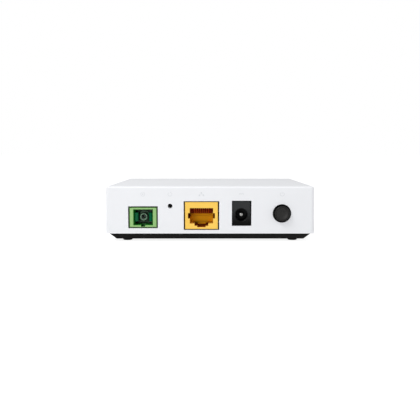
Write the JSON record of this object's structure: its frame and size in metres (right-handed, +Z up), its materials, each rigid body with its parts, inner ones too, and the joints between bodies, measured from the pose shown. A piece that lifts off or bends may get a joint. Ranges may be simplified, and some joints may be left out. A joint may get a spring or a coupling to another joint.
{
  "type": "optical network terminal",
  "caption": "Small desktop fibre network terminal: drafted white cover on a black tray, with a green fibre port, yellow Ethernet jack, reset hole, power jack and sprung power button in a row.",
  "frame": {"origin": "on the table, under the middle of the object's bounding box", "axes": "+Z up, -Y out of the face with the ports, +X to the right for a person facing the ports"},
  "size_m": [0.105, 0.0914, 0.0278],
  "materials": {
    "cover_plastic": "satin, fine spark texture",
    "tray_plastic": "satin black, fine texture",
    "label_film": "printed film, blank",
    "foot_rubber": "moulded rubber",
    "case_screw_steel": "black zinc",
    "board_screw_steel": "bright zinc",
    "solder_mask": "green solder mask",
    "fibre_green": "moulded green",
    "fibre_teal": "moulded teal",
    "receptacle_metal": "turned metal",
    "ceramic": "ground ceramic",
    "transceiver_metal": "machined",
    "can_gold": "gold plated",
    "lead_gold": "gold plated wire",
    "ethernet_yellow": "moulded yellow",
    "carrier_plastic": "moulded black",
    "contact_gold": "gold flash",
    "jack_plastic": "moulded black",
    "pin_nickel": "nickel plated",
    "leaf_metal": "tinned spring strip",
    "tinned_metal": "tinned",
    "button_plastic": "satin black",
    "plunger_plastic": "natural nylon",
    "switch_plastic": "moulded black",
    "spring_steel": "bright wire",
    "reset_plastic": "moulded",
    "bracket_steel": "tinned sheet",
    "chip_moulding": "moulded epoxy",
    "pad_silicone": "silicone pad",
    "sink_aluminium": "extruded, clear anodised",
    "transformer_moulding": "moulded epoxy",
    "ferrite": "pressed ferrite",
    "capacitor_can": "drawn can, dark sleeve",
    "crystal_can": "drawn can",
    "shield_metal": "tinned sheet",
    "fuse_body": "printed laminate",
    "capacitor_ceramic": "fired ceramic",
    "resistor_body": "glazed film",
    "led_lens": "milky resin",
    "guide_clear": "clear moulding"
  },
  "bodies": {
    "chassis": {"top_cover": "cover_plastic", "base_tray": "tray_plastic", "rating_label": "label_film", "rubber_feet": "foot_rubber", "case_screws": "case_screw_steel", "board_screws": "board_screw_steel", "main_board": "solder_mask", "fibre_port_housing": "fibre_green", "fibre_latch_insert": "fibre_teal", "receptacle_tube": "receptacle_metal", "ferrule_sleeve": "ceramic", "fibre_stub": "ceramic", "transceiver_body": "transceiver_metal", "laser_can": "can_gold", "receiver_can": "can_gold", "transceiver_leads": "lead_gold", "ethernet_housing": "ethernet_yellow", "ethernet_contact_carrier": "carrier_plastic", "ethernet_pins": "contact_gold", "power_jack_housing": "jack_plastic", "power_jack_pin": "pin_nickel", "power_jack_terminals": "tinned_metal", "power_switch_body": "switch_plastic", "power_switch_spring": "spring_steel", "power_switch_pins": "tinned_metal", "reset_switch_body": "switch_plastic", "reset_switch_bracket": "bracket_steel", "main_chip": "chip_moulding", "thermal_pad": "pad_silicone", "heat_sink": "sink_aluminium", "memory_chip": "chip_moulding", "flash_chip": "chip_moulding", "lan_transformer": "transformer_moulding", "power_inductors": "ferrite", "electrolytic_capacitors": "capacitor_can", "crystal": "crystal_can", "voltage_regulators": "chip_moulding", "laser_driver": "chip_moulding", "shield_frame": "shield_metal", "shield_lid": "shield_metal", "input_fuse": "fuse_body", "surge_diode": "chip_moulding", "chip_capacitors": "capacitor_ceramic", "chip_resistors": "resistor_body", "status_leds": "led_lens", "light_guide": "guide_clear"},
    "power_button": {"power_button_cap": "button_plastic", "power_switch_plunger": "plunger_plastic"},
    "reset_actuator": {"reset_switch_plunger": "reset_plastic"},
    "ethernet_contacts": {"ethernet_contact_springs": "contact_gold"},
    "power_contact": {"power_jack_leaf": "leaf_metal"}
  },
  "joints": [
    {"name": "power_button_press", "type": "slide", "parent": "chassis", "child": "power_button", "axis": [0, 1, 0], "range_m": [0, 0.0022], "stiffness_N_per_m": 500, "springref_m": -0.0015, "deforming": ["power_switch_spring"]},
    {"name": "reset_press", "type": "slide", "parent": "chassis", "child": "reset_actuator", "axis": [0, 1, 0], "range_m": [0, 0.0003], "stiffness_N_per_m": 3000, "springref_m": -0.0001},
    {"name": "ethernet_contact_flex", "type": "hinge", "parent": "chassis", "child": "ethernet_contacts", "pos_m": [-0.0043, -0.0413, 0.01725], "axis": [1, 0, 0], "range_deg": [0, 12], "stiffness_Nm_per_rad": 0.1, "springref_deg": -1.15},
    {"name": "power_contact_flex", "type": "hinge", "parent": "chassis", "child": "power_contact", "pos_m": [0.01235, -0.03395, 0.0136], "axis": [0, 0, -1], "range_deg": [0, 3], "stiffness_Nm_per_rad": 0.05, "springref_deg": -1.15}
  ]
}
